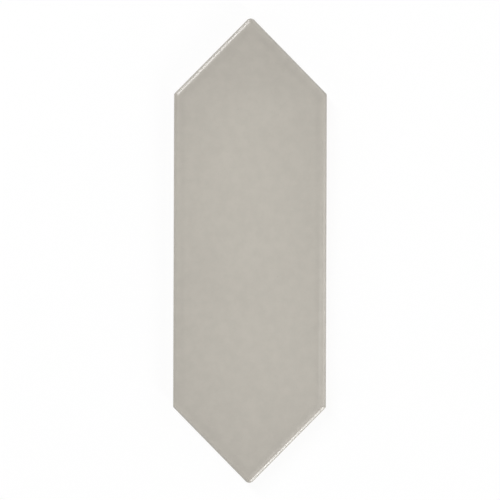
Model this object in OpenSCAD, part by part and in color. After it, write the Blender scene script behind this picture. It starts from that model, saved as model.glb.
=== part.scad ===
// Picket tile: one fired ceramic wall tile, a long hexagon with a point at each end.
// The tile lies on its back with the glazed face up. Its long axis runs along Y, and the
// origin is under the tile's middle, on the plane that the back's rim and ribs touch.

/* [Outline] */
// Width across the two long sides
tile_w = 65; // [50:0.5:90]
// Length from point to point, taken before the points are rounded
tile_l = 199.3; // [160:0.1:300]
// Angle between the long axis and a slanted side, in degrees
point_half_angle = 44.5; // [38:0.5:52]
// Radius that rounds each point, seen from above
tip_r = 2.2; // [1:0.1:4]
// Radius that rounds each shoulder, seen from above
shoulder_r = 1.2; // [0.6:0.1:3]

/* [Thickness and face edge] */
// Thickness from the back's ribs to the flat of the face
tile_t = 8; // [7:0.1:12]
// Width of the cushioned margin, from the wall to the flat of the face
cushion_w = 3.6; // [3.2:0.1:6]
// Radius of the gentle slope of that margin
cushion_r = 20; // [14:1:60]
// Radius of the roll that joins the slope to the wall
roll_r = 1.9; // [1:0.1:2.5]
// Leg of the small chamfer between the wall and the back
arris = 0.5; // [0.2:0.1:0.8]

/* [Back relief] */
// Depth of the pockets that key the tile to its adhesive
relief_d = 0.7; // [0.3:0.1:1.2]
// Width of the rim round the back, from the wall to the nearest pocket
rim_w = 4.5; // [3:0.1:8]
// Width of a rib's crest
rib_w = 2.2; // [1:0.1:3]
// Distance wanted from rib to rib, which is then fitted to a whole count of pockets
rib_pitch = 11.5; // [9:0.5:20]
// Lean of the pockets' flanks from upright, in degrees
draft = 30; // [5:1:45]

/* [Hidden] */
$fn = 96;
// Facets of the slope's whole circle, of which the section takes a few degrees
slope_fn = 720;
glaze_colour = [0.733, 0.718, 0.682];
// Extra length of a cutting shape past the surface that it cuts
over = 1;
// Length that reaches across the whole tile from any of its sides
reach = 2 * tile_l;
// How far outside the walls a corner's rounding starts, so that it crosses them cleanly
corner_ease = 0.02;
// Rise of the roll over a true touch with the slope, so that it crosses the slope cleanly
roll_rise = 0.002;

// The six sides, anticlockwise from the long side on the right
slant_d = tile_l / 2 * sin(point_half_angle);
side_azimuth = [0, point_half_angle, 180 - point_half_angle,
                180, 180 + point_half_angle, 360 - point_half_angle];
side_d = [tile_w / 2, slant_d, slant_d, tile_w / 2, slant_d, slant_d];
corner_r = [shoulder_r, tip_r, shoulder_r, shoulder_r, tip_r, shoulder_r];

// The face edge's section: the roll touches both the wall and the slope
roll_z = tile_t - cushion_r + roll_rise
    + sqrt(pow(cushion_r - roll_r, 2) - pow(cushion_w - roll_r, 2));
slope_angle = asin((cushion_w - roll_r) / (cushion_r - roll_r));
touch_inset = cushion_w - cushion_r * sin(slope_angle);

// The back's pattern: whole counts of pockets between the rims
flank_w = relief_d * tan(draft);
recess_w = tile_w - 2 * rim_w;
recess_l = tile_l - 2 * rim_w / sin(point_half_angle);
pockets_across = max(1, round(recess_w / rib_pitch));
pockets_along = 2 * max(1, round(recess_l / rib_pitch / 2));

sides = len(side_azimuth);

function unit(azimuth) = [cos(azimuth), sin(azimuth)];
function next(i) = (i + 1) % sides;

// Corner between side i and the next one, after both have moved in by inset
function corner(i, inset) =
    let (u = unit(side_azimuth[i]),
         v = unit(side_azimuth[next(i)]),
         p = side_d[i] - inset,
         q = side_d[next(i)] - inset)
    [p * v.y - q * u.y, q * u.x - p * v.x] / cross(u, v);

// Section of the tile near one edge. The wall is at x = 0 and the tile lies at x < 0.
// From the flat of the face outwards come the gentle slope, the roll, the upright wall and
// the small arris.
module edge_section() {
    intersection() {
        under_slope();
        inside_roll(roll_z);
    }
}

// All that lies under the flat of the face and its gentle slope
module under_slope() {
    translate([-reach, 0])
        square([reach - cushion_w, tile_t]);
    intersection() {
        translate([-cushion_w, tile_t - cushion_r])
            circle(cushion_r, $fn = slope_fn);
        translate([-cushion_w, 0])
            square([cushion_w + over, tile_t + over]);
    }
}

// All that lies inside the arris, the wall and a roll whose axis runs at a given height
module inside_roll(height) {
    polygon([[-reach - over, -2 * over], [-arris - 2 * over, -2 * over], [0, arris],
             [0, height], [-touch_inset, height], [-touch_inset, tile_t + 2 * over],
             [-reach - over, tile_t + 2 * over]]);
    translate([-roll_r, height])
        circle(roll_r);
}

// Slab that reaches across the whole tile from side i, with that side's edge shaped
module side_slab(i) {
    rotate([90, 0, side_azimuth[i]])
        translate([side_d[i], 0, -tile_l])
            linear_extrude(reach)
                edge_section();
}

// What the rounding takes off the sharp corner after side i: a sector of a ring whose hollow
// is the rounded corner. The roll runs a little higher than along the sides, up to the flat.
module corner_waste(i) {
    turn = side_azimuth[next(i)] - side_azimuth[i];
    wall = corner_r[i] + corner_ease;
    translate(corner(i, corner_r[i]))
        rotate(side_azimuth[i])
            rotate_extrude(angle = turn < 0 ? turn + 360 : turn)
                difference() {
                    translate([0, -over])
                        square([wall + 2 * over, tile_t + 2 * over]);
                    translate([wall, 0])
                        inside_roll(tile_t - roll_r);
                }
}

// The tile without its back relief
module blank() {
    difference() {
        intersection_for (i = [0:sides - 1])
            side_slab(i);
        for (i = [0:sides - 1])
            corner_waste(i);
    }
}

// Bar between the rims of two opposite sides, with drafted flanks
module recess_bar(i) {
    half = side_d[i] - rim_w;
    rotate([90, 0, side_azimuth[i]])
        translate([0, 0, -tile_l])
            linear_extrude(reach)
                polygon([[-half, -over], [half, -over], [half, 0],
                         [half - flank_w, relief_d], [flank_w - half, relief_d], [-half, 0]]);
}

// One rib along X, with its crest on the back's plane
module rib() {
    crest = rib_w / 2;
    foot = crest + flank_w;
    rotate([90, 0, 90])
        translate([0, 0, -tile_l])
            linear_extrude(reach)
                polygon([[-crest, -2 * over], [crest, -2 * over], [crest, 0], [foot, relief_d],
                         [foot, relief_d + over], [-foot, relief_d + over], [-foot, relief_d],
                         [-crest, 0]]);
}

module ribs(count, span) {
    for (i = [1:1:count - 1])
        translate([0, (i / count - 0.5) * span, 0])
            rib();
}

// The lattice of shallow pockets that is pressed into the back
module back_pockets() {
    difference() {
        intersection() {
            recess_bar(0);
            recess_bar(1);
            recess_bar(2);
        }
        ribs(pockets_along, recess_l);
        rotate(90)
            ribs(pockets_across, recess_w);
    }
}

module tile() {
    color(glaze_colour)
        difference() {
            blank();
            back_pockets();
        }
}

tile();
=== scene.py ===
"""Dresses a packed picket tile: one fired ceramic wall tile, a long hexagon with a point at each end.

The tile lies on its back with the glazed face up. The shell is built in rings that follow the
outline inwards, from the bare biscuit wall over the rolled, glazed edge to the middle of the face.
The back is a plate of shallow pockets between ribs. All lengths are in metres, in the frame's axes.
"""

import logging
import math
from dataclasses import dataclass, field
from enum import Enum
from typing import ClassVar

import bmesh
import bpy
import numpy as np
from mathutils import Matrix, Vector, geometry, noise


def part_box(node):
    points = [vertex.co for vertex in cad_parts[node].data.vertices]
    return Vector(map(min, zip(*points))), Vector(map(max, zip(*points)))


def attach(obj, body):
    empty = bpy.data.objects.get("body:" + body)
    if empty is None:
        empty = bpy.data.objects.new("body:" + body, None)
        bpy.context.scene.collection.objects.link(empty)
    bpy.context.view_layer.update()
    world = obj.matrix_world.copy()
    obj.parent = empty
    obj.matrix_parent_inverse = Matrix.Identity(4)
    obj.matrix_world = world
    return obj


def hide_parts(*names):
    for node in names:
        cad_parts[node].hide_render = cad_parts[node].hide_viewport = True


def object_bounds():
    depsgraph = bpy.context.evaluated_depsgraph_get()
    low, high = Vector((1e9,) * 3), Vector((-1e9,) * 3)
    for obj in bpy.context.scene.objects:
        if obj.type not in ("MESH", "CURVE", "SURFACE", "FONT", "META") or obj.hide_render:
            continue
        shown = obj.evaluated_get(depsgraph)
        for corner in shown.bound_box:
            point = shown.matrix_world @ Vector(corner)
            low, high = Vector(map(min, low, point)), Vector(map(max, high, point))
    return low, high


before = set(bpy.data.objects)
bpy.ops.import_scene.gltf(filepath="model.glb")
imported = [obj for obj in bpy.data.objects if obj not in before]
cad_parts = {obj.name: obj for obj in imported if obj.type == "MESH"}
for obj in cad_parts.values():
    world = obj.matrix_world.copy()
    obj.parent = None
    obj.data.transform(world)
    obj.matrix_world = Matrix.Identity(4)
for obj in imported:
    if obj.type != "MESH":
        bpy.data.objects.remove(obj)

CAD_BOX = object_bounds()
MM = 0.001
WELD = 1e-7
QUAD = 4
NODE = "tile"
BODY = "root"

log = logging.getLogger("picket_tile")


class Fired(Enum):
    """The two surfaces that the kiln leaves on a glazed tile, in the order of its materials."""

    GLAZE = 0
    BISCUIT = 1


class Pattern(Enum):
    """The slice of the noise that each pattern reads, so that no two are alike."""

    GLAZE_CLOUD = 0.0
    BISCUIT_BLOTCH = 2.0
    GLAZE_DRIFT = 3.0
    GLAZE_LINE = 4.0
    BISCUIT_GRAIN = 5.0
    GLAZE_SPECK = 7.0
    GLAZE_LINE_RIPPLE = 8.0
    BISCUIT_FLECK = 9.0
    GLAZE_PEEL = 11.0
    GLAZE_PORE = 13.0
    DRIP = 21.0
    FACE_WAVE = 31.0
    FACE_RIPPLE = 37.0


class RayKind(Enum):
    """Outputs of the Light Path node that tell what a ray is for."""

    CAMERA = "Is Camera Ray"
    GLOSSY = "Is Glossy Ray"
    TRANSMISSION = "Is Transmission Ray"


class Mixed(Enum):
    """What a Mix node mixes: the node's data type and the ending of its sockets' names."""

    NUMBER = ("FLOAT", "Float")
    COLOUR = ("RGBA", "Color")


def srgb(red: float, green: float, blue: float) -> tuple[float, float, float, float]:
    """Turns a colour read in a picture, 0 to 255, into the shader's linear values.

    Args:
        red: Red as an 8-bit display value.
        green: Green as an 8-bit display value.
        blue: Blue as an 8-bit display value.

    Returns:
        Linear red, green and blue with an alpha of 1.
    """
    white, knee, slope, offset, gamma = 255, 0.04045, 12.92, 0.055, 2.4
    linear = []
    for value in (red, green, blue):
        share = value / white
        bent = ((share + offset) / (1 + offset)) ** gamma
        linear.append(share / slope if share <= knee else bent)
    return (*linear, 1.0)


def grey(level: float) -> tuple[float, float, float, float]:
    """Gives a plain grey of a linear level as a shader's colour."""
    return (level, level, level, 1.0)


def ease(value: np.ndarray | float, start: float, end: float) -> np.ndarray:
    """Rises smoothly from 0 to 1 while value goes from start to end.

    Args:
        value: Where to read the curve.
        start: Value at which the curve leaves 0.
        end: Value at which the curve reaches 1.

    Returns:
        The curve's height, of the same shape as value.
    """
    share = np.clip((np.asarray(value, float) - start) / (end - start), 0.0, 1.0)
    return share * share * (3 - 2 * share)


def waves(points: np.ndarray, length: float, pattern: Pattern) -> np.ndarray:
    """Reads smooth noise at points of the tile.

    Args:
        points: Points as rows of x, y and, where given, z.
        length: Length of the noise's waves.
        pattern: Which slice of the noise is read.

    Returns:
        One value per point, from about -1 to 1.
    """
    return np.array([noise.noise(Vector((point[0] / length, point[1] / length, pattern.value)))
                     for point in points])


@dataclass
class ShaderSheet:
    """A material or world's node tree, with short calls to add and join nodes."""

    tree: bpy.types.NodeTree

    def add(self, kind: str, **settings: object) -> bpy.types.Node:
        """Adds a node.

        Args:
            kind: The node's type name without its ShaderNode prefix.
            **settings: Properties of the node, by name.

        Returns:
            The new node.
        """
        node = self.tree.nodes.new("ShaderNode" + kind)
        for name, value in settings.items():
            setattr(node, name, value)
        return node

    def plug(self, value: object, socket: bpy.types.NodeSocket) -> None:
        """Feeds one input.

        Args:
            value: A socket to link from, or a plain value to set.
            socket: The input.
        """
        if isinstance(value, bpy.types.NodeSocket):
            self.tree.links.new(value, socket)
        else:
            socket.default_value = value

    def feed(self, node: bpy.types.Node, **inputs: object) -> bpy.types.Node:
        """Feeds a node's inputs by name, with _ for a space.

        Args:
            node: The node whose inputs are fed.
            **inputs: Sockets to link from, or plain values to set.

        Returns:
            The same node.
        """
        for name, value in inputs.items():
            self.plug(value, node.inputs[name.replace("_", " ")])
        return node

    def combine(self, kind: str, *sources: object, **settings: object) -> bpy.types.NodeSocket:
        """Adds a node and feeds its inputs in their order.

        Args:
            kind: The node's type name without its ShaderNode prefix.
            *sources: Sockets to link from, or plain values to set.
            **settings: Properties of the node, by name.

        Returns:
            The node's first output.
        """
        node = self.add(kind, **settings)
        for source, socket in zip(sources, node.inputs):
            self.plug(source, socket)
        return node.outputs[0]

    def math(self, operation: str, first: object, second: object = 0.0) -> bpy.types.NodeSocket:
        """Works out one sum.

        Args:
            operation: The Math node's operation, such as MULTIPLY.
            first: First value or socket.
            second: Second value or socket.

        Returns:
            The result's socket.
        """
        return self.combine("Math", first, second, operation=operation)

    def remap(self, value: bpy.types.NodeSocket, low: float, high: float,
              new_low: float, new_high: float) -> bpy.types.NodeSocket:
        """Maps a value from one range to another with soft ends.

        Args:
            value: The socket to map.
            low: Value that becomes new_low.
            high: Value that becomes new_high.
            new_low: Result at and below low.
            new_high: Result at and above high.

        Returns:
            The result's socket.
        """
        node = self.add("MapRange", interpolation_type="SMOOTHSTEP")
        self.feed(node, Value=value, From_Min=low, From_Max=high, To_Min=new_low, To_Max=new_high)
        return node.outputs["Result"]

    def cloud(self, where: bpy.types.NodeSocket, pattern: Pattern, size: float, detail: float = 2.0,
              roughness: float = 0.5) -> bpy.types.NodeSocket:
        """Adds noise of a given grain.

        Args:
            where: Coordinates to read it at.
            pattern: Which slice of the noise is used.
            size: Width of its patches, in metres.
            detail: How many finer layers it has.
            roughness: How strong the finer layers are.

        Returns:
            The noise's value, about 0.5 on average.
        """
        node = self.add("TexNoise", noise_dimensions="4D")
        self.feed(node, Vector=where, Scale=1 / size, Detail=detail, Roughness=roughness,
                  W=pattern.value)
        return node.outputs["Fac"]

    def mix(self, kind: Mixed, share: object, first: object, second: object) -> bpy.types.NodeSocket:
        """Mixes two numbers or two colours.

        Args:
            kind: Which of the two are mixed.
            share: How much of the second is taken.
            first: First value or socket.
            second: Second value or socket.

        Returns:
            The result's socket.
        """
        data_type, ending = kind.value
        node = self.add("Mix", data_type=data_type)
        inputs = {socket.identifier: socket for socket in node.inputs}
        self.plug(share, inputs["Factor_Float"])
        self.plug(first, inputs["A_" + ending])
        self.plug(second, inputs["B_" + ending])
        return next(socket for socket in node.outputs if socket.identifier == "Result_" + ending)


@dataclass(frozen=True)
class GlazeFinish:
    """Warm grey gloss glaze: faintly clouded, with a darker ring near the edge, and painted shade along
    the edges, at the points and at left.

    A span is the pair of noise values, or the pair of places, between which a share comes in. The three
    places with painted shade, the two points and the left side, are given as start, end and strength
    along an axis of the tile.
    """

    light: tuple[float, ...] = srgb(191, 186, 176)
    deep: tuple[float, ...] = srgb(164, 159, 151)
    speck: tuple[float, ...] = srgb(150, 143, 132)
    refraction: float = 1.5
    cloud_size: float = 4.5 * MM
    cloud_detail: float = 6.0
    cloud_roughness: float = 0.68
    cloud_strength: float = 0.2
    drift_size: float = 38 * MM
    drift_strength: float = 0.09
    depth_span: tuple[float, float] = (0.3, 0.7)
    ring_inset: float = 3.7 * MM
    ring_width: float = 2.2 * MM
    ring_strength: float = 0.1
    # painted shade: the glaze colour darkens towards the edges of the face, at both points and on the
    # left side
    shade_margin_inset: tuple[float, float] = (2 * MM, 28 * MM)
    shade_margin_strength: float = 0.15
    upper_end_shade: tuple[float, float, float] = (28 * MM, 96 * MM, 0.25)
    lower_end_shade: tuple[float, float, float] = (-45 * MM, -96 * MM, 0.1)
    left_side_shade: tuple[float, float, float] = (30 * MM, -30 * MM, 0.04)
    speck_size: float = 0.45 * MM
    speck_span: tuple[float, float] = (0.74, 0.80)
    speck_strength: float = 0.45
    gloss_roughness: tuple[float, float] = (0.10, 0.17)
    gloss_span: tuple[float, float] = (0.25, 0.75)
    roll_inset: tuple[float, float] = (2 * MM, 4 * MM)
    roll_roughness: float = 0.22
    peel_size: float = 1.6 * MM
    peel_depth: float = 0.010 * MM
    peel_inset: tuple[float, float] = (1.8 * MM, 5 * MM)
    peel_strength: tuple[float, float] = (0.12, 1.0)
    pore_size: float = 0.7 * MM
    pore_span: tuple[float, float] = (0.10, 0.2)
    pore_share: float = 0.8

    def material(self) -> bpy.types.Material:
        """Builds the glaze.

        Returns:
            The finished material.
        """
        made = bpy.data.materials.new("warm_grey_glaze")
        made.use_nodes = True
        sheet = ShaderSheet(made.node_tree)
        shader = made.node_tree.nodes["Principled BSDF"]
        where = sheet.add("TexCoord").outputs["Object"]
        inset = sheet.add("Attribute", attribute_name=TileShell.INSET).outputs["Fac"]
        cloud = sheet.cloud(where, Pattern.GLAZE_CLOUD, self.cloud_size, self.cloud_detail,
                            self.cloud_roughness)
        depth = self.depth(sheet, where, inset, cloud)
        colour = sheet.mix(Mixed.COLOUR, depth, self.light, self.deep)
        grain = sheet.cloud(where, Pattern.GLAZE_SPECK, self.speck_size, detail=1.0)
        specks = sheet.remap(grain, *self.speck_span, 0.0, self.speck_strength)
        colour = sheet.mix(Mixed.COLOUR, specks, colour, self.speck)
        rough = sheet.remap(cloud, *self.gloss_span, *self.gloss_roughness)
        roll = sheet.remap(inset, *self.roll_inset, self.roll_roughness, 0.0)
        rough = sheet.math("MAXIMUM", rough, roll)
        sheet.feed(shader, Base_Color=colour, Roughness=rough, IOR=self.refraction,
                   Normal=self.relief(sheet, where, inset))
        return made

    def depth(self, sheet: ShaderSheet, where: bpy.types.NodeSocket, inset: bpy.types.NodeSocket,
              cloud: bpy.types.NodeSocket) -> bpy.types.NodeSocket:
        """Adds up how deep the glaze's colour is, with painted shade towards the edges, at the points
        and at left.

        Args:
            sheet: The material's node tree.
            where: Coordinates on the tile.
            inset: Distance from the wall.
            cloud: The glaze's clouding.

        Returns:
            0 where the colour is light and 1 where it is deep.
        """
        drift = sheet.cloud(where, Pattern.GLAZE_DRIFT, self.drift_size)
        off_ring = sheet.math("ABSOLUTE", sheet.math("SUBTRACT", inset, self.ring_inset))
        place = sheet.feed(sheet.add("SeparateXYZ"), Vector=where)
        depth = sheet.remap(cloud, *self.depth_span, 0.0, self.cloud_strength)
        shares = [sheet.remap(drift, *self.depth_span, 0.0, self.drift_strength),
                  sheet.remap(off_ring, 0.0, self.ring_width, self.ring_strength, 0.0),
                  # painted shade: darker towards all edges of the face
                  sheet.remap(inset, *self.shade_margin_inset, self.shade_margin_strength, 0.0)]
        # painted shade: darker towards the two points and on the left side
        for axis, (start, end, strength) in (("Y", self.upper_end_shade), ("Y", self.lower_end_shade),
                                             ("X", self.left_side_shade)):
            shares.append(sheet.remap(place.outputs[axis], start, end, 0.0, strength))
        for share in shares:
            depth = sheet.math("ADD", depth, share)
        return depth

    def relief(self, sheet: ShaderSheet, where: bpy.types.NodeSocket,
               inset: bpy.types.NodeSocket) -> bpy.types.NodeSocket:
        """Adds the orange peel and pinholes of a fired glaze, which fade out over the roll.

        Args:
            sheet: The material's node tree.
            where: Coordinates on the tile.
            inset: Distance from the wall.

        Returns:
            The bent normal's socket.
        """
        peel = sheet.cloud(where, Pattern.GLAZE_PEEL, self.peel_size)
        pores = sheet.cloud(where, Pattern.GLAZE_PORE, self.pore_size, detail=0.0)
        pores = sheet.remap(pores, *self.pore_span, 0.0, 1.0)
        height = sheet.math("ADD", peel, sheet.math("MULTIPLY", pores, self.pore_share))
        strength = sheet.remap(inset, *self.peel_inset, *self.peel_strength)
        bump = sheet.feed(sheet.add("Bump"), Strength=strength, Distance=self.peel_depth, Height=height)
        return bump.outputs["Normal"]


@dataclass(frozen=True)
class BiscuitFinish:
    """Dry-pressed body: pale, matt and grainy, with kiln wash rubbed onto what stands proud.

    A span is the pair of noise values between which a share comes in.
    """

    clay: tuple[float, ...] = srgb(226, 214, 196)
    shade: tuple[float, ...] = srgb(206, 190, 168)
    wash: tuple[float, ...] = srgb(238, 233, 224)
    fleck: tuple[float, ...] = srgb(168, 142, 114)
    specular: float = 0.3
    matt_roughness: tuple[float, float] = (0.72, 0.95)
    blotch_size: float = 9 * MM
    blotch_detail: float = 4.0
    blotch_roughness: float = 0.6
    blotch_strength: float = 0.8
    noise_span: tuple[float, float] = (0.3, 0.7)
    grain_size: float = 0.35 * MM
    grain_detail: float = 3.0
    grain_roughness: float = 0.7
    grain_depth: float = 0.05 * MM
    grain_strength: float = 0.9
    wash_height: float = 0.25 * MM
    wash_span: tuple[float, float] = (0.35, 0.65)
    wash_share: tuple[float, float] = (0.2, 0.9)
    fleck_size: float = 0.8 * MM
    fleck_span: tuple[float, float] = (0.74, 0.79)
    fleck_strength: float = 0.7

    def material(self) -> bpy.types.Material:
        """Builds the biscuit.

        Returns:
            The finished material.
        """
        made = bpy.data.materials.new("pale_biscuit")
        made.use_nodes = True
        sheet = ShaderSheet(made.node_tree)
        shader = made.node_tree.nodes["Principled BSDF"]
        where = sheet.add("TexCoord").outputs["Object"]
        blotch = sheet.cloud(where, Pattern.BISCUIT_BLOTCH, self.blotch_size, self.blotch_detail,
                             self.blotch_roughness)
        grain = sheet.cloud(where, Pattern.BISCUIT_GRAIN, self.grain_size, self.grain_detail,
                            self.grain_roughness)
        shaded = sheet.remap(blotch, *self.noise_span, 0.0, self.blotch_strength)
        colour = sheet.mix(Mixed.COLOUR, shaded, self.clay, self.shade)
        height = sheet.feed(sheet.add("SeparateXYZ"), Vector=where).outputs["Z"]
        proud = sheet.remap(height, 0.0, self.wash_height, 1.0, 0.0)
        worn = sheet.remap(grain, *self.wash_span, *self.wash_share)
        rubbed = sheet.math("MULTIPLY", proud, worn)
        colour = sheet.mix(Mixed.COLOUR, rubbed, colour, self.wash)
        flecks = sheet.cloud(where, Pattern.BISCUIT_FLECK, self.fleck_size, detail=1.0)
        flecks = sheet.remap(flecks, *self.fleck_span, 0.0, self.fleck_strength)
        colour = sheet.mix(Mixed.COLOUR, flecks, colour, self.fleck)
        rough = sheet.remap(grain, *self.noise_span, *self.matt_roughness)
        bump = sheet.feed(sheet.add("Bump"), Strength=self.grain_strength,
                          Distance=self.grain_depth, Height=grain)
        sheet.feed(shader, Base_Color=colour, Roughness=rough, Specular_IOR_Level=self.specular,
                   Normal=bump.outputs["Normal"])
        return made


@dataclass
class TileOutline:
    """Plan of the tile: six sides, two pointed corners and four shoulders.

    A corner's rounding shrinks by tuck_rate for each length of inset, down to tuck_radius, and
    grows to soft_radius on the face, over the span soft_inset.
    """

    half_width: float
    half_length: float
    point_half_angle: float = math.radians(44.5)
    tip_radius: float = 2.2 * MM
    shoulder_radius: float = 1.2 * MM
    tuck_radius: float = 0.4 * MM
    tuck_rate: float = 1.4
    soft_radius: float = 2.6 * MM
    soft_inset: tuple[float, float] = (2.2 * MM, 5.5 * MM)
    long_steps: int = 112
    slant_steps: int = 40
    tip_steps: int = 14
    shoulder_steps: int = 8

    def __post_init__(self) -> None:
        """Works out the sides' directions and distances from the middle."""
        angle = self.point_half_angle
        self.sharp_half = self.half_length + self.tip_radius * (1 / math.sin(angle) - 1)
        slant = self.sharp_half * math.sin(angle)
        self.azimuths = [0.0, angle, math.pi - angle, math.pi, math.pi + angle, 2 * math.pi - angle]
        self.distances = [self.half_width, slant, slant] * 2
        self.radii = [self.shoulder_radius, self.tip_radius, self.shoulder_radius] * 2
        self.side_steps = [self.long_steps, self.slant_steps, self.slant_steps] * 2
        self.corner_steps = [self.shoulder_steps, self.tip_steps, self.shoulder_steps] * 2

    def corner(self, index: int, inset: float) -> np.ndarray:
        """Finds where two neighbouring sides meet after both have moved in.

        Args:
            index: Number of the first side, anticlockwise from the long side on the right.
            inset: How far both sides have moved in.

        Returns:
            The meeting point's x and y.
        """
        after = (index + 1) % len(self.azimuths)
        rows = [(math.cos(azimuth), math.sin(azimuth))
                for azimuth in (self.azimuths[index], self.azimuths[after])]
        offsets = [self.distances[index] - inset, self.distances[after] - inset]
        return np.linalg.solve(np.array(rows), np.array(offsets))

    def radius(self, index: int, inset: float) -> float:
        """Gives the rounding of a corner's ring: it tucks in over the roll and softens on the face.

        Args:
            index: Number of the corner.
            inset: How far inside the wall the ring lies.

        Returns:
            The ring's radius at that corner.
        """
        tucked = max(self.radii[index] - self.tuck_rate * inset, self.tuck_radius)
        soft = tucked + (self.soft_radius - tucked) * float(ease(inset, *self.soft_inset))
        return soft * (1 - max(inset, 0.0) / self.half_width)

    def ring(self, inset: float) -> np.ndarray:
        """Lays out one ring of points that runs round the tile.

        Args:
            inset: How far inside the wall the ring lies.

        Returns:
            Points as rows of x and y, anticlockwise, as many for every inset.
        """
        count = len(self.azimuths)
        points: list[np.ndarray] = []
        for side in range(count):
            before = (side - 1) % count
            normal = np.array([math.cos(self.azimuths[side]), math.sin(self.azimuths[side])])
            ends = []
            for corner in (before, side):
                radius = self.radius(corner, inset)
                ends.append(self.corner(corner, inset + radius) + radius * normal)
            for step in range(self.side_steps[side]):
                share = step / self.side_steps[side]
                points.append(ends[0] * (1 - share) + ends[1] * share)
            radius = self.radius(side, inset)
            centre = self.corner(side, inset + radius)
            start = self.azimuths[side]
            turn = (self.azimuths[(side + 1) % count] - start) % (2 * math.pi)
            for step in range(self.corner_steps[side]):
                angle = start + turn * step / self.corner_steps[side]
                points.append(centre + radius * np.array([math.cos(angle), math.sin(angle)]))
        return np.array(points)

    def inset_of(self, x: float, y: float) -> float:
        """Measures how far inside the nearest straight side a point lies.

        Args:
            x: The point's x.
            y: The point's y.

        Returns:
            The distance to the nearest side, negative outside the tile.
        """
        return min(distance - x * math.cos(azimuth) - y * math.sin(azimuth)
                   for azimuth, distance in zip(self.azimuths, self.distances))


@dataclass
class EdgeSection:
    """Section through the tile's edge: wall, roll and gentle slope up to the face."""

    thickness: float
    cushion_width: float = 3.6 * MM
    cushion_radius: float = 20 * MM
    roll_radius: float = 1.9 * MM
    pool_dip: float = 0.035 * MM
    dip_inset: tuple[float, float] = (2.2 * MM, 6 * MM)

    def __post_init__(self) -> None:
        """Finds where the roll touches the slope."""
        run = self.cushion_width - self.roll_radius
        reach = self.cushion_radius - self.roll_radius
        self.roll_height = self.thickness - self.cushion_radius + math.sqrt(reach**2 - run**2)
        self.slope_angle = math.asin(run / reach)
        self.touch_inset = self.cushion_width - self.cushion_radius * math.sin(self.slope_angle)

    def roll(self, share: float) -> tuple[float, float]:
        """Follows the roll from the wall to the slope.

        Args:
            share: 0 at the wall and 1 where the slope starts.

        Returns:
            Inset and height of that point.
        """
        angle = share * (math.pi / 2 - self.slope_angle)
        inset = self.roll_radius * (1 - math.cos(angle))
        return inset, self.roll_height + self.roll_radius * math.sin(angle)

    def face(self, inset: float) -> float:
        """Gives the height of the slope and the face.

        Args:
            inset: How far inside the wall, past the roll.

        Returns:
            The height above the tile's back, with the faint dip inside the glaze's thick margin.
        """
        short = max(self.cushion_width - inset, 0.0)
        top = self.thickness - self.cushion_radius + math.sqrt(self.cushion_radius**2 - short**2)
        return top - self.pool_dip * float(ease(inset, *self.dip_inset))


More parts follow.
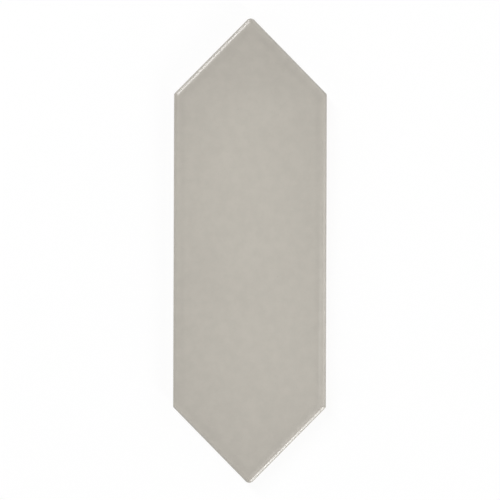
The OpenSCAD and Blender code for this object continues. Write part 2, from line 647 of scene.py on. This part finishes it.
@dataclass
class TileShell:
    """Wall, rolled edge and face as rings of points, from the arris to the middle of the face.

    The glaze ends in a rounded lip, given from below as steps of inset and rise over its line.
    """

    INSET: ClassVar[str] = "edge_inset"

    outline: TileOutline
    section: EdgeSection
    arris: float = 0.5 * MM
    body_recess: float = 0.14 * MM
    glaze_edge: float = 3.6 * MM
    line_wave: float = 0.55 * MM
    line_wave_length: float = 17 * MM
    line_ripple_share: float = 0.35
    line_ripple_length: float = 4.5 * MM
    drip_drop: float = 0.9 * MM
    drip_length: float = 7.5 * MM
    drip_span: tuple[float, float] = (0.28, 0.5)
    lip_start: float = -0.16 * MM
    lip: tuple[tuple[float, float], ...] = (
        (0.115 * MM, -0.13 * MM), (0.06 * MM, -0.09 * MM), (0.02 * MM, -0.02 * MM),
        (0.0, 0.10 * MM), (0.0, 0.28 * MM))
    wall_swell: float = 0.012 * MM
    arris_turns: tuple[float, ...] = (0.0, 0.35, 0.7, 1.0)
    wall_steps: int = 7
    roll_steps: int = 16
    slope_steps: int = 6
    face_steps: int = 26
    face_wave: float = 0.018 * MM
    face_wave_length: float = 26 * MM
    face_ripple_share: float = 0.4
    face_ripple_length: float = 9 * MM
    face_bias: float = 1.2
    wave_margin: tuple[float, float] = (2.2 * MM, 9 * MM)
    rows: list[np.ndarray] = field(default_factory=list)
    insets: list[float] = field(default_factory=list)
    glaze_row: int = 0

    def edge_line(self, plan: np.ndarray) -> np.ndarray:
        """Draws the uneven lower edge of the glaze round the wall.

        Args:
            plan: Points of the wall's outline.

        Returns:
            The height of the glaze's edge at each point.
        """
        wave = waves(plan, self.line_wave_length, Pattern.GLAZE_LINE)
        ripple = waves(plan, self.line_ripple_length, Pattern.GLAZE_LINE_RIPPLE)
        line = self.glaze_edge + self.line_wave * (wave + self.line_ripple_share * ripple)
        drips = ease(waves(plan, self.drip_length, Pattern.DRIP), *self.drip_span)
        return line - self.drip_drop * drips

    def add_row(self, inset: float, height: np.ndarray | float) -> None:
        """Adds a ring.

        Args:
            inset: How far inside the wall the ring lies.
            height: Its height, one for all points or one for each.
        """
        plan = self.outline.ring(inset)
        self.rows.append(np.column_stack([plan, np.broadcast_to(height, len(plan))]))
        self.insets.append(inset)

    def build_wall(self) -> None:
        """Lays the biscuit wall, the step up to the glaze and the glazed wall."""
        line = self.edge_line(self.outline.ring(0.0))
        recess = self.body_recess
        for share in self.arris_turns:
            turn = share * math.pi / 2
            self.add_row(recess + self.arris * (1 - math.sin(turn)), self.arris * (1 - math.cos(turn)))
        for step in range(1, self.wall_steps + 1):
            share = step / self.wall_steps
            self.add_row(recess, self.arris + (line + self.lip_start - self.arris) * share)
        self.glaze_row = len(self.rows) - 1
        for inset, rise in self.lip:
            self.add_row(inset, line + rise)
        start = line + self.lip[-1][1]
        top = self.section.roll_height
        for step in range(1, self.wall_steps):
            share = step / self.wall_steps
            self.add_row(self.wall_swell * math.sin(math.pi * share), start + (top - start) * share)

    def build_face(self) -> None:
        """Lays the roll, the slope and the face, which closes on the tile's spine."""
        for step in range(self.roll_steps):
            self.add_row(*self.section.roll(step / self.roll_steps))
        touch = self.section.touch_inset
        flat = self.section.cushion_width
        for step in range(self.slope_steps):
            inset = touch + (flat - touch) * step / self.slope_steps
            self.add_row(inset, self.section.face(inset))
        for step in range(self.face_steps + 1):
            inset = flat + (self.outline.half_width - flat) * step / self.face_steps
            self.add_row(inset, self.section.face(inset))

    def ripple(self) -> None:
        """Gives the face the faint waviness that glaze has when it sets."""
        for row, inset in zip(self.rows, self.insets):
            share = float(ease(inset, *self.wave_margin))
            if share > 0:
                wave = waves(row, self.face_wave_length, Pattern.FACE_WAVE)
                wave += self.face_ripple_share * waves(row, self.face_ripple_length, Pattern.FACE_RIPPLE)
                row[:, 2] -= self.face_wave * share * (self.face_bias + wave) / 2

    def build(self) -> None:
        """Builds all rows."""
        self.build_wall()
        self.build_face()
        self.ripple()


@dataclass
class RibbedBack:
    """Back of the tile: a flat rim and ribs round shallow pockets with drafted flanks.

    The plate starts inside a margin, and a worn flank takes soft_flank times its plain width.
    """

    outline: TileOutline
    relief: float = 0.7 * MM
    rim: float = 4.5 * MM
    rib_width: float = 2.2 * MM
    rib_pitch: float = 11.5 * MM
    draft: float = math.radians(30)
    margin: float = 1.6 * MM
    soft_flank: float = 1.9
    flank_steps: int = 5
    widest_gap: float = 3 * MM
    spare_length: float = 2 * MM

    def __post_init__(self) -> None:
        """Fits whole counts of pockets between the rims."""
        angle = self.outline.point_half_angle
        self.flank = self.soft_flank * self.relief * math.tan(self.draft)
        self.recess_width = 2 * (self.outline.half_width - self.rim)
        self.recess_length = 2 * (self.outline.sharp_half - self.rim / math.sin(angle))
        self.across = max(1, round(self.recess_width / self.rib_pitch))
        self.along = 2 * max(1, round(self.recess_length / self.rib_pitch / 2))

    def rib_lines(self, count: int, span: float) -> list[float]:
        """Gives the middles of one family of ribs.

        Args:
            count: How many pockets the family divides the span into.
            span: Length of that span.

        Returns:
            The ribs' places, from the lowest to the highest.
        """
        return [(index / count - 0.5) * span for index in range(1, count)]

    def flank_offsets(self) -> list[float]:
        """Gives the places across a flank at which the mesh is cut, from its crest to its foot."""
        return [self.flank * step / self.flank_steps for step in range(self.flank_steps + 1)]

    def depth_past(self, distance: float) -> float:
        """Gives the depth of a pocket beside a crest, as a share of the full relief."""
        return float(ease(distance, 0.0, self.flank))

    def height(self, x: float, y: float) -> float:
        """Gives the back's height above the plane that its crests touch.

        Args:
            x: The point's x.
            y: The point's y.

        Returns:
            0 on the rim and the crests, and up to the full relief in a pocket.
        """
        crest = self.rib_width / 2
        share = self.depth_past(self.outline.inset_of(x, y) - self.rim)
        for value, count, span in ((x, self.across, self.recess_width),
                                   (y, self.along, self.recess_length)):
            nearest = min(abs(value - line) for line in self.rib_lines(count, span))
            share *= self.depth_past(nearest - crest)
        return self.relief * share

    def cuts(self, count: int, span: float, limit: float) -> list[float]:
        """Collects the grid lines that one family of ribs needs.

        Args:
            count: How many pockets the family divides the span into.
            span: Length of that span.
            limit: Half of the plate's size along this axis.

        Returns:
            Sorted places of the lines.
        """
        crest = self.rib_width / 2
        found = {-limit, limit}
        for line in self.rib_lines(count, span):
            found.add(line)
            for offset in self.flank_offsets():
                found.update((line - crest - offset, line + crest + offset))
        inside = sorted(value for value in found if abs(value) <= limit)
        middles = [(low + high) / 2 for low, high in zip(inside, inside[1:])
                   if high - low > self.widest_gap]
        return sorted(inside + middles)

    def build(self) -> bmesh.types.BMesh:
        """Builds the plate inside the margin, with its cuts along every crest and foot.

        Returns:
            A mesh whose border is the outline moved in by the margin.
        """
        plate = bmesh.new()
        xs = self.cuts(self.across, self.recess_width, self.outline.half_width)
        ys = self.cuts(self.along, self.recess_length, self.outline.half_length + self.spare_length)
        grid = [[plate.verts.new((x, y, 0.0)) for x in xs] for y in ys]
        for low, high in zip(grid, grid[1:]):
            for index in range(len(xs) - 1):
                plate.faces.new((low[index], high[index], high[index + 1], low[index + 1]))
        for azimuth, distance in zip(self.outline.azimuths, self.outline.distances):
            normal = Vector((math.cos(azimuth), math.sin(azimuth), 0.0))
            self.bisect(plate, normal, distance - self.margin, clear=True)
            for offset in self.flank_offsets():
                self.bisect(plate, normal, distance - self.rim - offset, clear=False)
        for vert in plate.verts:
            vert.co.z = self.height(vert.co.x, vert.co.y)
        return plate

    def bisect(self, plate: bmesh.types.BMesh, normal: Vector, distance: float, clear: bool) -> None:
        """Cuts the plate along an upright plane.

        Args:
            plate: The mesh to cut.
            normal: Outward direction of the plane.
            distance: The plane's distance from the middle.
            clear: Whether what lies outside is removed.
        """
        geom = plate.verts[:] + plate.edges[:] + plate.faces[:]
        bmesh.ops.bisect_plane(plate, geom=geom, dist=WELD, plane_co=normal * distance,
                               plane_no=normal, clear_outer=clear)


@dataclass
class PicketTile:
    """The fired tile: shell and back joined into one closed mesh with its two finishes."""

    name: str = "fired_tile"
    crease: float = math.radians(50)
    glaze: GlazeFinish = field(default_factory=GlazeFinish)
    biscuit: BiscuitFinish = field(default_factory=BiscuitFinish)

    def __post_init__(self) -> None:
        """Takes the tile's size from the frame."""
        low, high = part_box(NODE)
        self.outline = TileOutline(half_width=(high.x - low.x) / 2, half_length=(high.y - low.y) / 2)
        self.shell = TileShell(self.outline, EdgeSection(thickness=high.z - low.z))
        self.back = RibbedBack(self.outline)

    def build(self) -> bpy.types.Object:
        """Returns:
            The tile's object.
        """
        data = self.build_mesh()
        data.materials.append(self.glaze.material())
        data.materials.append(self.biscuit.material())
        tile = bpy.data.objects.new(self.name, data)
        bpy.context.scene.collection.objects.link(tile)
        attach(tile, BODY)
        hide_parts(NODE)
        return tile

    def build_mesh(self) -> bpy.types.Mesh:
        """Joins the shell and the back into one closed mesh.

        Returns:
            The mesh, smooth but for its creases.
        """
        self.shell.build()
        mesh = bmesh.new()
        rings = self.add_rings(mesh, mesh.verts.layers.float.new(TileShell.INSET))
        self.add_spine(rings[-1])
        self.add_back(mesh, rings[0])
        bmesh.ops.remove_doubles(mesh, verts=mesh.verts, dist=WELD)
        bmesh.ops.triangulate(mesh, faces=[face for face in mesh.faces if len(face.verts) > QUAD])
        bmesh.ops.recalc_face_normals(mesh, faces=mesh.faces)
        data = bpy.data.meshes.new(self.name)
        mesh.to_mesh(data)
        mesh.free()
        data.shade_smooth()
        data.set_sharp_from_angle(angle=self.crease)
        return data

    def add_rings(self, mesh: bmesh.types.BMesh,
                  inset_layer: bmesh.types.BMLayerItem) -> list[list[bmesh.types.BMVert]]:
        """Adds the shell's rows and the faces between them.

        Args:
            mesh: The mesh that takes them.
            inset_layer: Layer that keeps each point's distance from the wall.

        Returns:
            The rows of points.
        """
        rings = []
        for row, inset in zip(self.shell.rows, self.shell.insets):
            ring = [mesh.verts.new(point) for point in row]
            for vert in ring:
                vert[inset_layer] = inset
            rings.append(ring)
        for index, (low, high) in enumerate(zip(rings, rings[1:])):
            fired = Fired.BISCUIT if index < self.shell.glaze_row else Fired.GLAZE
            for step in range(len(low)):
                after = (step + 1) % len(low)
                face = mesh.faces.new((low[step], low[after], high[after], high[step]))
                face.material_index = fired.value
        return rings

    def add_spine(self, ring: list[bmesh.types.BMVert]) -> None:
        """Brings the innermost ring, which has closed to a line, onto the tile's axis.

        Args:
            ring: The innermost ring.
        """
        for vert in ring:
            vert.co.x = 0.0

    def add_back(self, mesh: bmesh.types.BMesh, ring: list[bmesh.types.BMVert]) -> None:
        """Adds the ribbed plate and the flat strip that joins it to the arris.

        Args:
            mesh: The mesh that takes them.
            ring: The lowest ring of the shell.
        """
        plate = self.back.build()
        copies = {vert: mesh.verts.new(vert.co) for vert in plate.verts}
        for face in plate.faces:
            made = mesh.faces.new([copies[vert] for vert in face.verts])
            made.material_index = Fired.BISCUIT.value
        verts = [*ring, *(copies[vert] for vert in plate.verts if vert.is_boundary)]
        places = {vert: index for index, vert in enumerate(verts)}
        edges = [(index, (index + 1) % len(ring)) for index in range(len(ring))]
        for edge in plate.edges:
            if edge.is_boundary:
                edges.append(tuple(places[copies[vert]] for vert in edge.verts))
        plate.free()
        self.add_strip(mesh, verts, edges)

    def add_strip(self, mesh: bmesh.types.BMesh, verts: list[bmesh.types.BMVert],
                  edges: list[tuple[int, ...]]) -> None:
        """Fills the flat strip between the shell's lowest ring and the ribbed plate.

        Args:
            mesh: The mesh that takes it.
            verts: Points of the ring and of the plate's border.
            edges: Pairs of those points' numbers, along the ring and along the border.
        """
        corners = [Vector((vert.co.x, vert.co.y)) for vert in verts]
        keep_inside, tolerance = 1, 1e-9
        spots, _, triangles, sources, *_ = geometry.delaunay_2d_cdt(corners, edges, [], keep_inside,
                                                                    tolerance)
        for triangle in triangles:
            middle = sum((spots[index] for index in triangle), Vector((0.0, 0.0))) / len(triangle)
            if self.outline.inset_of(middle.x, middle.y) <= self.back.margin:
                made = mesh.faces.new([verts[sources[index][0]] for index in triangle])
                made.material_index = Fired.BISCUIT.value


@dataclass(frozen=True)
class SoftBox:
    """One rectangular lamp, aimed at the tile from a place given in degrees and metres."""

    name: str
    azimuth: float
    zenith: float
    width: float
    height: float
    radiance: float
    distance: float = 1.6

    def build(self) -> bpy.types.Object:
        """Hangs the lamp.

        Returns:
            The lamp's object.
        """
        data = bpy.data.lights.new(self.name, "AREA")
        data.shape = "RECTANGLE"
        data.size = self.width
        data.size_y = self.height
        data.energy = self.radiance * math.pi * self.width * self.height
        lamp = bpy.data.objects.new(self.name, data)
        azimuth, zenith = math.radians(self.azimuth), math.radians(self.zenith)
        away = Vector((math.sin(zenith) * math.cos(azimuth), math.sin(zenith) * math.sin(azimuth),
                       math.cos(zenith)))
        lamp.location = away * self.distance
        lamp.rotation_euler = away.to_track_quat("Z", "Y").to_euler()
        lamp.visible_camera = False
        bpy.context.scene.collection.objects.link(lamp)
        return lamp


@dataclass
class Studio:
    """Pale floor, plain soft light and the camera that looks straight down.

    The tile's centre and width are read in the photograph, in pixels. The floor turns from
    shadow-keeping to plain white over the span shadow_reach, measured from the tile's middle.
    """

    picture_side: int = 500
    tile_centre: tuple[float, float] = (250.0, 250.66)
    tile_width_px: float = 152.84
    tile_roll: float = math.radians(0.17)
    lens: float = 120.0
    clip: tuple[float, float] = (0.01, 20.0)
    floor_side: float = 6.0
    floor_gap: float = 0.02 * MM
    floor_albedo: float = 0.8
    floor_glow: float = 0.9
    shadow_reach: tuple[float, float] = (0.14, 0.5)
    white: float = 1.0
    ambient: float = 0.206
    boxes: tuple[SoftBox, ...] = (
        SoftBox("upper_left_high", azimuth=128, zenith=32, width=0.3, height=0.5, radiance=13.0),
        SoftBox("upper_left_middle", azimuth=128, zenith=50.5, width=0.3, height=0.46, radiance=14.5),
        SoftBox("upper_left_low", azimuth=128, zenith=77, width=0.3, height=0.32, radiance=7.0),
        SoftBox("lower_right_high", azimuth=-51, zenith=55, width=0.3, height=0.28, radiance=12.0),
        SoftBox("lower_right_middle", azimuth=-51, zenith=65, width=0.3, height=0.28, radiance=20.0),
        SoftBox("lower_right_low", azimuth=-51, zenith=85, width=0.3, height=0.26, radiance=20.0),
        SoftBox("right_panel", azimuth=-2, zenith=58, width=0.4, height=1.6, radiance=1.9),
        SoftBox("lower_left_panel", azimuth=212, zenith=62, width=0.9, height=1.0, radiance=1.6),
        SoftBox("upper_right_panel", azimuth=45, zenith=62, width=0.9, height=1.0, radiance=1.15),
        SoftBox("overhead_panel", azimuth=-20, zenith=10, width=0.19, height=0.1, radiance=1.6,
                distance=0.9),
        SoftBox("lower_right_overhead", azimuth=-62, zenith=19.5, width=0.14, height=0.09,
                radiance=2.2, distance=0.94),
    )

    def build(self) -> None:
        """Sets the floor, the world, the lamps and the camera."""
        self.floor()
        self.world()
        for box in self.boxes:
            box.build()
        self.camera()
        bpy.context.scene.view_settings.view_transform = "Standard"

    def seen(self, sheet: ShaderSheet) -> bpy.types.NodeSocket:
        """Tells rays that show the background from those that only carry light.

        Args:
            sheet: The node tree that asks.

        Returns:
            1 for camera, glossy and transmission rays, and 0 for others.
        """
        path = sheet.add("LightPath")
        camera, glossy, through = (path.outputs[kind.value] for kind in RayKind)
        return sheet.math("MAXIMUM", sheet.math("MAXIMUM", camera, glossy), through)

    def floor_material(self) -> bpy.types.Material:
        """Builds the floor's surface, which keeps the tile's shadow and can't be seen from below.

        Returns:
            The finished material.
        """
        made = bpy.data.materials.new("pale_floor")
        made.use_nodes = True
        made.node_tree.nodes.clear()
        sheet = ShaderSheet(made.node_tree)
        lit = sheet.combine("BsdfDiffuse", grey(self.floor_albedo))
        pale = sheet.combine("BsdfDiffuse", grey(1 - self.floor_glow))
        glow = sheet.combine("Emission", grey(1.0), self.floor_glow)
        shown = sheet.combine("AddShader", pale, glow)
        away = sheet.feed(sheet.add("VectorMath", operation="LENGTH"),
                          Vector=sheet.add("TexCoord").outputs["Object"])
        far = sheet.remap(away.outputs["Value"], *self.shadow_reach, 0.0, 1.0)
        white = sheet.combine("Emission", grey(1.0), self.white)
        shown = sheet.combine("MixShader", far, shown, white)
        upper = sheet.combine("MixShader", self.seen(sheet), lit, shown)
        below = sheet.add("NewGeometry").outputs["Backfacing"]
        surface = sheet.combine("MixShader", below, upper, sheet.combine("BsdfTransparent"))
        sheet.feed(sheet.add("OutputMaterial"), Surface=surface)
        return made

    def floor(self) -> bpy.types.Object:
        """Lays the floor just under the tile.

        Returns:
            The floor's object.
        """
        half = self.floor_side / 2
        data = bpy.data.meshes.new("pale_floor")
        corners = [(-half, -half, 0), (half, -half, 0), (half, half, 0), (-half, half, 0)]
        data.from_pydata(corners, [], [(0, 1, 2, 3)])
        data.materials.append(self.floor_material())
        floor = bpy.data.objects.new("pale_floor", data)
        floor.location.z = CAD_BOX[0].z - self.floor_gap
        bpy.context.scene.collection.objects.link(floor)
        return floor

    def world(self) -> bpy.types.World:
        """Sets an even pale surround, white where it is seen.

        Returns:
            The world.
        """
        world = bpy.data.worlds.new("pale_surround")
        bpy.context.scene.world = world
        world.use_nodes = True
        sheet = ShaderSheet(world.node_tree)
        strength = sheet.mix(Mixed.NUMBER, self.seen(sheet), self.ambient, self.white)
        sheet.feed(world.node_tree.nodes["Background"], Color=grey(1.0), Strength=strength)
        return world

    def camera(self) -> bpy.types.Object:
        """Hangs the camera over the tile, turned and placed as in the photograph.

        The tile is at its widest up to where the roll starts, so the distance counts from there.

        Returns:
            The camera's object.
        """
        low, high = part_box(NODE)
        scale = (high.x - low.x) / self.tile_width_px
        data = bpy.data.cameras.new("overhead")
        data.lens = self.lens
        distance = self.picture_side * scale * data.lens / data.sensor_width
        offset_px = [self.picture_side / 2 - place for place in self.tile_centre]
        camera = bpy.data.objects.new("overhead", data)
        camera.location = (offset_px[0] * scale, -offset_px[1] * scale,
                           EdgeSection(high.z - low.z).roll_height + distance)
        camera.rotation_euler = (0.0, 0.0, self.tile_roll)
        data.clip_start, data.clip_end = self.clip
        bpy.context.scene.collection.objects.link(camera)
        bpy.context.scene.camera = camera
        return camera


def main() -> None:
    """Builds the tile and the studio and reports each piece."""
    logging.basicConfig(level=logging.INFO, format="%(name)s: %(message)s")
    tile = PicketTile().build()
    log.info("%s: %d points, %d faces", tile.name, len(tile.data.vertices), len(tile.data.polygons))
    Studio().build()
    log.info("studio: floor, surround, lamps and camera set")


if __name__ == "__main__":
    main()
